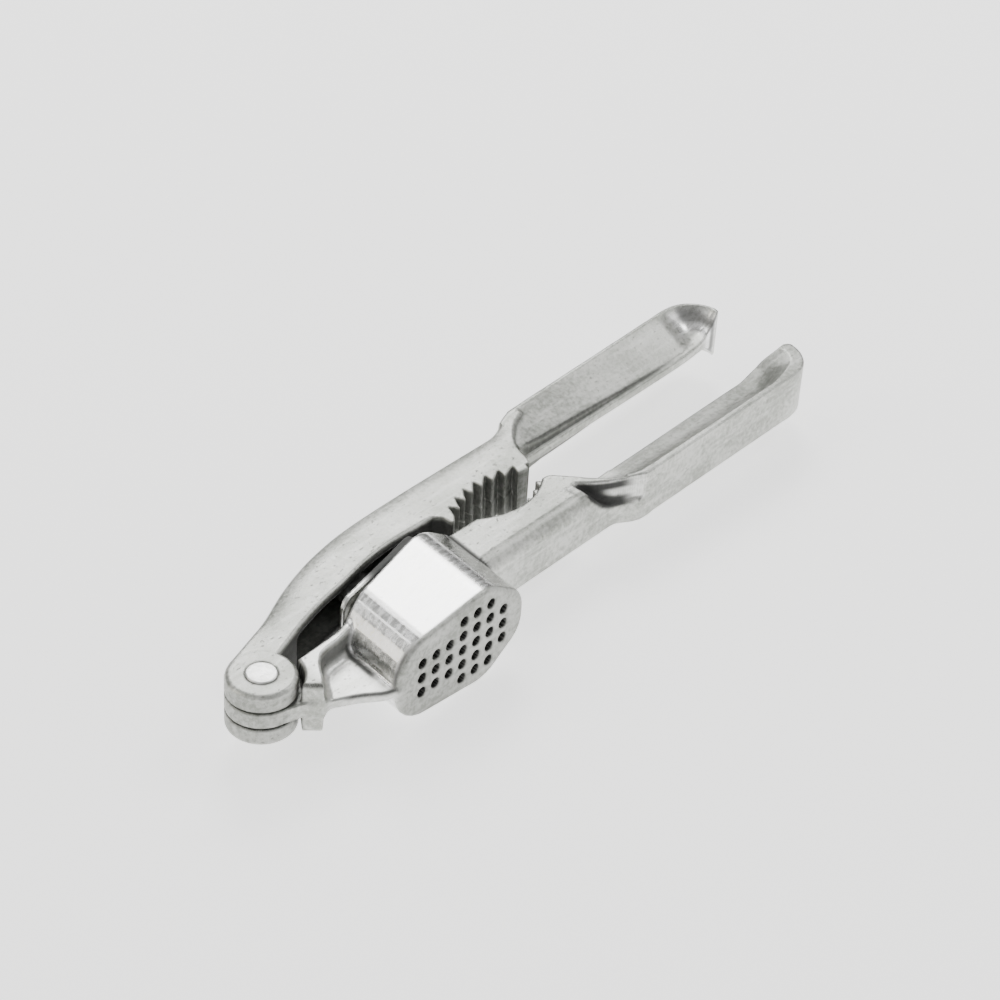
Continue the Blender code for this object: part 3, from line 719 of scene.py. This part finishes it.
def plunger():
    """The plunger: a hollow cup with a rim, a fin and a boss for its pin."""
    xs = axis((21.0, 60.6, 0.4))
    ys = axis((-15.5, 17.8, 0.4))
    zs = axis((-10.4, 10.4, 0.4))
    x, y, z = xs[:, None, None], ys[None, :, None], zs[None, None, :]
    level = np.abs(z)
    side = basket_side(x, y, z, PLUNGER_INSET)
    hollow = basket_side(x, y, z, PLUNGER_INSET + PLUNGER_WALL)
    back = (y - PLUNGER_BACK_Y - PLUNGER_BACK_SLOPE * (x - RIM_X)) / math.hypot(1, PLUNGER_BACK_SLOPE)
    cup = meet(meet(side, PLUNGER_FACE_Y - y, 0.5), back, 0.3)
    rim_plan = outline_distance(rounded(((RIM_X, -RIM_HALF, 2.5), (RIM_END, -RIM_HALF, 2.5),
                                         (RIM_END, RIM_HALF, 2.5), (RIM_X, RIM_HALF, 2.5))), x, z)
    rim_base = (MOUTH_Y + RIM_GAP + MOUTH_SLOPE * (x - MOUTH_X) - y) / math.hypot(1, MOUTH_SLOPE)
    rim = meet(meet(rim_plan, back, 0.3), rim_base, 0.25)
    body = merge(cup, rim, 0.3)
    corner = outline_distance([(50.3, 7.0), (52.5, 4.4), (64, 4.4), (64, 18), (50.3, 18)], x, y)
    body = carve(body, meet(hollow, PLUNGER_FACE_Y + PLUNGER_FLOOR - y, 1.0), 0.3)
    body = carve(body, corner, 0.3)
    fin_plan = outline_distance([(27, -12.6), (51.5, -12.6), (50, 1), (43.5, 8), (41, PIN_Y), (36, PIN_Y),
                                 (33, 7), (28, -1)], x, y)
    fin = meet(fin_plan, level - FIN_HALF, 0.3)
    boss = meet(np.hypot(x - PIN_X, y - PIN_Y) - BOSS_RADIUS, level - BOSS_HALF, 0.4)
    body = merge(body, merge(fin, boss, 0.8), 0.6)
    body = carve(body, np.hypot(x - PIN_X, y - PIN_Y) - PIN_BORE, 0.15)

    # Painted shade in the cup, on the rim under the arm and on the pressing face
    in_shade = ease(x, 31, 36) * ease(y, -0.5, 1.0)
    face_dark = fade(y, -13.8, -12.5)
    painted_shade = np.maximum.reduce(np.broadcast_arrays(
        0.6 * fade(hollow, -2.0, 0.0), 0.88 * in_shade, 0.5 * face_dark))
    return mesh_from_field("plunger_casting", body, (xs, ys, zs), {"polish": 0.6, "painted_shade": painted_shade})


def turned(name, centre, profile, sides=96):
    """A round piece about a vertical axis, through (radius, height) points from bottom to top."""
    count = len(profile)
    angles = np.linspace(0, 2 * math.pi, sides, endpoint=False)
    vertices = []
    for radius, height in profile:
        for angle in angles:
            vertices.append(HINGE + Vector((*polar(centre, radius, angle), height)) * MM)
    faces = [tuple(range(sides))[::-1]]
    for row in range(count - 1):
        for i in range(sides):
            j = (i + 1) % sides
            faces.append((row * sides + i, row * sides + j, (row + 1) * sides + j, (row + 1) * sides + i))
    faces.append(tuple(range((count - 1) * sides, count * sides)))
    mesh = bpy.data.meshes.new(name)
    mesh.from_pydata(vertices, [], faces)
    mesh.shade_smooth()
    mesh.set_sharp_from_angle(angle=math.radians(50))
    return add_object(name, mesh)


def head_profile():
    """A rivet head: straight side, rounded shoulder and a slightly domed top."""
    flat = HEAD_RADIUS - HEAD_SHOULDER
    points = [(HEAD_RADIUS, HEAD_BASE)]
    for step in range(7):
        angle = math.radians(90 * step / 6)
        points.append((flat + HEAD_SHOULDER * math.cos(angle),
                       HEAD_TOP - HEAD_DOME - HEAD_SHOULDER + HEAD_SHOULDER * math.sin(angle)))
    for step in range(1, 7):
        share = step / 6
        points.append((flat * (1 - share) + CORE_RADIUS * share, HEAD_TOP - HEAD_DOME * (1 - share) ** 2))
    return points


def hinge_rivet():
    """A rivet with a head at both ends."""
    top = [(RIVET_RADIUS, HEAD_BASE)] + head_profile()
    bottom = [(radius, -height) for radius, height in reversed(top)]
    return turned("hinge_rivet_headed", (0, 0), bottom + top)


def plunger_pin():
    """A plain pin with rounded ends."""
    rounding = ((0.25, 0.0), (0.07, 0.08), (0.0, 0.25))
    bottom = [(PIN_RADIUS - inwards, PIN_BOTTOM + along) for inwards, along in rounding]
    top = [(PIN_RADIUS - inwards, PIN_TOP - along) for inwards, along in reversed(rounding)]
    profile = [(CORE_RADIUS, PIN_BOTTOM)] + bottom + top + [(CORE_RADIUS, PIN_TOP)]
    return turned("plunger_pin_turned", (PIN_X, PIN_Y), profile, 48)


# ---------------------------------------------------------------- materials

class Nodes:
    """Short names for building a material's node tree."""

    def __init__(self, name):
        self.material = bpy.data.materials.new(name)
        self.material.use_nodes = True
        self.tree = self.material.node_tree
        self.shader = self.tree.nodes["Principled BSDF"]

    def add(self, kind, **settings):
        node = self.tree.nodes.new(kind)
        for key, value in settings.items():
            setattr(node, key, value)
        return node

    def link(self, source, target):
        self.tree.links.new(source, target)

    def fill(self, socket, value):
        """The socket takes another socket's value, or a constant."""
        if hasattr(value, "node"):
            self.link(value, socket)
        else:
            socket.default_value = value

    def math(self, operation, a, b):
        """Two numbers or sockets, combined."""
        node = self.add("ShaderNodeMath", operation=operation)
        self.fill(node.inputs[0], a)
        self.fill(node.inputs[1], b)
        return node.outputs[0]

    def mix(self, amount, a, b):
        """Two colours or sockets, mixed."""
        node = self.add("ShaderNodeMix", data_type='RGBA')
        self.fill(node.inputs["Factor"], amount)
        self.fill(node.inputs["A"], a)
        self.fill(node.inputs["B"], b)
        return node.outputs["Result"]

    def mixed(self, amount, a, b):
        """Two numbers or sockets, mixed."""
        node = self.add("ShaderNodeMix", data_type='FLOAT')
        self.fill(node.inputs[0], amount)
        self.fill(node.inputs[2], a)
        self.fill(node.inputs[3], b)
        return node.outputs[0]

    def noise(self, scale, detail=3.0, stretch=(1, 1, 1), roughness=0.55):
        """Noise in the object's own space, stretched by axis."""
        coordinates = self.add("ShaderNodeTexCoord").outputs["Object"]
        mapping = self.add("ShaderNodeMapping")
        mapping.inputs["Scale"].default_value = stretch
        self.link(coordinates, mapping.inputs["Vector"])
        node = self.add("ShaderNodeTexNoise")
        node.inputs["Scale"].default_value = scale
        node.inputs["Detail"].default_value = detail
        node.inputs["Roughness"].default_value = roughness
        self.link(mapping.outputs[0], node.inputs["Vector"])
        return node.outputs["Fac"]

    def band(self, value, low, high):
        """0 at low, 1 at high."""
        node = self.add("ShaderNodeMapRange", interpolation_type='SMOOTHSTEP')
        self.link(value, node.inputs["Value"])
        node.inputs["From Min"].default_value = low
        node.inputs["From Max"].default_value = high
        return node.outputs["Result"]

    def attribute(self, name):
        """A mask of the mesh."""
        return self.add("ShaderNodeAttribute", attribute_name=name).outputs["Fac"]


def cast_aluminium(name):
    """Tumbled die-cast aluminium, polished where the polish mask is 1, and dull near-black with painted
    shade where the shade mask is 1.
    """
    n = Nodes(name)
    polish = n.attribute("polish")
    painted_shade = n.attribute("painted_shade")
    cloud = n.noise(150, 4.0, (0.5, 1, 1))
    mottle = n.noise(900, 5.0, (1, 1, 1), 0.65)
    grain = n.noise(2600, 3.0)
    streak = n.noise(1000, 2.0, (0.06, 1, 1))
    pits = n.band(n.noise(1300, 3.0, (0.6, 1.2, 1)), 0.64, 0.72)
    tone = n.math('ADD', n.math('MULTIPLY', cloud, 0.4), n.math('MULTIPLY', mottle, 0.6))
    satin = n.mix(n.band(tone, 0.38, 0.62), SATIN_DEEP, SATIN_PALE)
    satin = n.mix(n.math('MULTIPLY', n.band(streak, 0.5, 0.72), 0.3), satin, SCRATCH)
    shiny = n.mix(n.band(streak, 0.38, 0.62), POLISHED_DEEP, POLISHED_PALE)
    colour = n.mix(polish, satin, shiny)
    colour = n.mix(n.math('MULTIPLY', pits, n.mixed(polish, 0.6, 0.2)), colour, PIT)
    # Painted shade: where the shade mask is 1 the metal turns near-black, rougher and less metallic
    colour = n.mix(painted_shade, colour, PAINTED_SHADE)
    n.link(colour, n.shader.inputs["Base Color"])
    rough = n.mixed(n.band(mottle, 0.3, 0.7), 0.36, 0.50)
    smooth = n.mixed(n.band(streak, 0.35, 0.65), 0.18, 0.28)
    rough = n.mixed(polish, rough, smooth)
    rough = n.mixed(painted_shade, rough, 0.75)
    n.link(rough, n.shader.inputs["Roughness"])
    n.link(n.math('SUBTRACT', 1.0, n.math('MULTIPLY', painted_shade, 0.6)), n.shader.inputs["Metallic"])
    relief_height = n.math('ADD', n.math('MULTIPLY', grain, 0.35), n.math('MULTIPLY', mottle, 1.0))
    relief_height = n.math('SUBTRACT', relief_height, n.math('MULTIPLY', pits, 0.8))
    bump = n.add("ShaderNodeBump")
    bump.inputs["Distance"].default_value = CAST_RELIEF
    n.link(relief_height, bump.inputs["Height"])
    n.link(n.mixed(polish, 0.75, 0.12), bump.inputs["Strength"])
    n.link(bump.outputs[0], n.shader.inputs["Normal"])
    return n.material


def rivet_metal(name):
    """Headed aluminium wire with a faint turned sheen."""
    n = Nodes(name)
    mottle = n.noise(900, 3.0)
    grain = n.noise(3000, 2.0)
    n.link(n.mix(n.band(mottle, 0.35, 0.65), WIRE_DEEP, WIRE_PALE), n.shader.inputs["Base Color"])
    n.link(n.mixed(n.band(grain, 0.3, 0.7), 0.28, 0.42), n.shader.inputs["Roughness"])
    n.shader.inputs["Metallic"].default_value = 1.0
    bump = n.add("ShaderNodeBump")
    bump.inputs["Distance"].default_value = WIRE_RELIEF
    bump.inputs["Strength"].default_value = 0.5
    n.link(mottle, bump.inputs["Height"])
    n.link(bump.outputs[0], n.shader.inputs["Normal"])
    return n.material


def floor_paper(name):
    """Pale seamless paper that glows a little."""
    n = Nodes(name)
    n.link(n.mix(n.noise(6, 2.0), PAPER_DEEP, PAPER_PALE), n.shader.inputs["Base Color"])
    n.shader.inputs["Roughness"].default_value = 0.9
    n.shader.inputs["Specular IOR Level"].default_value = 0.0
    n.shader.inputs["Emission Color"].default_value = (1.0, 1.0, 1.0, 1.0)
    n.shader.inputs["Emission Strength"].default_value = FLOOR_GLOW
    return n.material


# ---------------------------------------------------------------- studio

def make_floor():
    """A plain paper floor just under the press."""
    mesh = bpy.data.meshes.new("floor")
    level = cad_low[2] - FLOOR_GAP
    size = FLOOR_HALF_SIZE
    corners = [(-size, -size, level), (size, -size, level), (size, size, level), (-size, size, level)]
    mesh.from_pydata(corners, [], [(0, 1, 2, 3)])
    floor = add_object("floor", mesh)
    mesh.materials.append(floor_paper("floor_paper"))


def softbox(name, place, target, size, power, colour):
    """A rectangular lamp that faces its target."""
    light = bpy.data.lights.new(name, 'AREA')
    light.color = colour
    light.shape = 'RECTANGLE'
    light.size, light.size_y = size
    light.energy = power
    made = add_object(name, light)
    made.location = place
    made.rotation_euler = (Vector(target) - Vector(place)).to_track_quat('-Z', 'Y').to_euler()


def make_lights():
    """The lamps, and a sky that is darker near the horizon."""
    for lamp in LAMPS:
        softbox(*lamp)
    world = bpy.data.worlds.new("studio")
    bpy.context.scene.world = world
    world.use_nodes = True
    nodes, links = world.node_tree.nodes, world.node_tree.links
    direction = nodes.new("ShaderNodeTexCoord")
    parts = nodes.new("ShaderNodeSeparateXYZ")
    links.new(direction.outputs["Generated"], parts.inputs[0])
    ramp = nodes.new("ShaderNodeValToRGB")
    links.new(parts.outputs["Z"], ramp.inputs["Fac"])
    steps = ramp.color_ramp.elements
    for position, value in SKY[1:-1]:
        steps.new(position)
    for step, (_, value) in zip(steps, SKY):
        step.color = (value, value, value, 1)
    background = nodes["Background"]
    links.new(ramp.outputs["Color"], background.inputs["Color"])
    background.inputs["Strength"].default_value = SKY_STRENGTH


def make_camera():
    """The photo's viewpoint, from the fit of the press's outlines."""
    azimuth = math.radians(CAMERA_AZIMUTH)
    elevation = math.radians(CAMERA_ELEVATION)
    roll = math.radians(CAMERA_ROLL)
    forward = Vector((math.cos(elevation) * math.cos(azimuth), math.cos(elevation) * math.sin(azimuth),
                      -math.sin(elevation)))
    right = Vector((math.sin(azimuth), -math.cos(azimuth), 0.0))
    up = right.cross(forward)
    camera_x = math.cos(roll) * right + math.sin(roll) * up
    camera_y = -math.sin(roll) * right + math.cos(roll) * up
    rotation = Matrix((camera_x, camera_y, -forward)).transposed().to_4x4()
    data = bpy.data.cameras.new("camera")
    data.sensor_width = CAMERA_SENSOR
    data.lens = CAMERA_LENS
    camera = add_object("camera", data)
    camera.matrix_world = Matrix.Translation(HINGE + CAMERA_FROM_HINGE * MM) @ rotation
    bpy.context.scene.camera = camera


# ---------------------------------------------------------------- assembly

def stand_for(piece, node, body, look):
    """The piece takes the CAD node's place, rides on the body and gets its look."""
    piece.data.materials.append(look)
    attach(piece, body)
    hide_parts(node)


make_camera()
make_floor()
make_lights()
cast = cast_aluminium("cast_aluminium_fine")
polished = cast_aluminium("polished_aluminium_fine")
wire = rivet_metal("rivet_aluminium_fine")
stand_for(lower_lever(), "lower_lever", "lower_lever", cast)
stand_for(upper_lever(), "upper_lever", "upper_lever", cast)
stand_for(plunger(), "plunger", "plunger", polished)
stand_for(hinge_rivet(), "hinge_rivet", "lower_lever", wire)
stand_for(plunger_pin(), "plunger_pin", "upper_lever", wire)
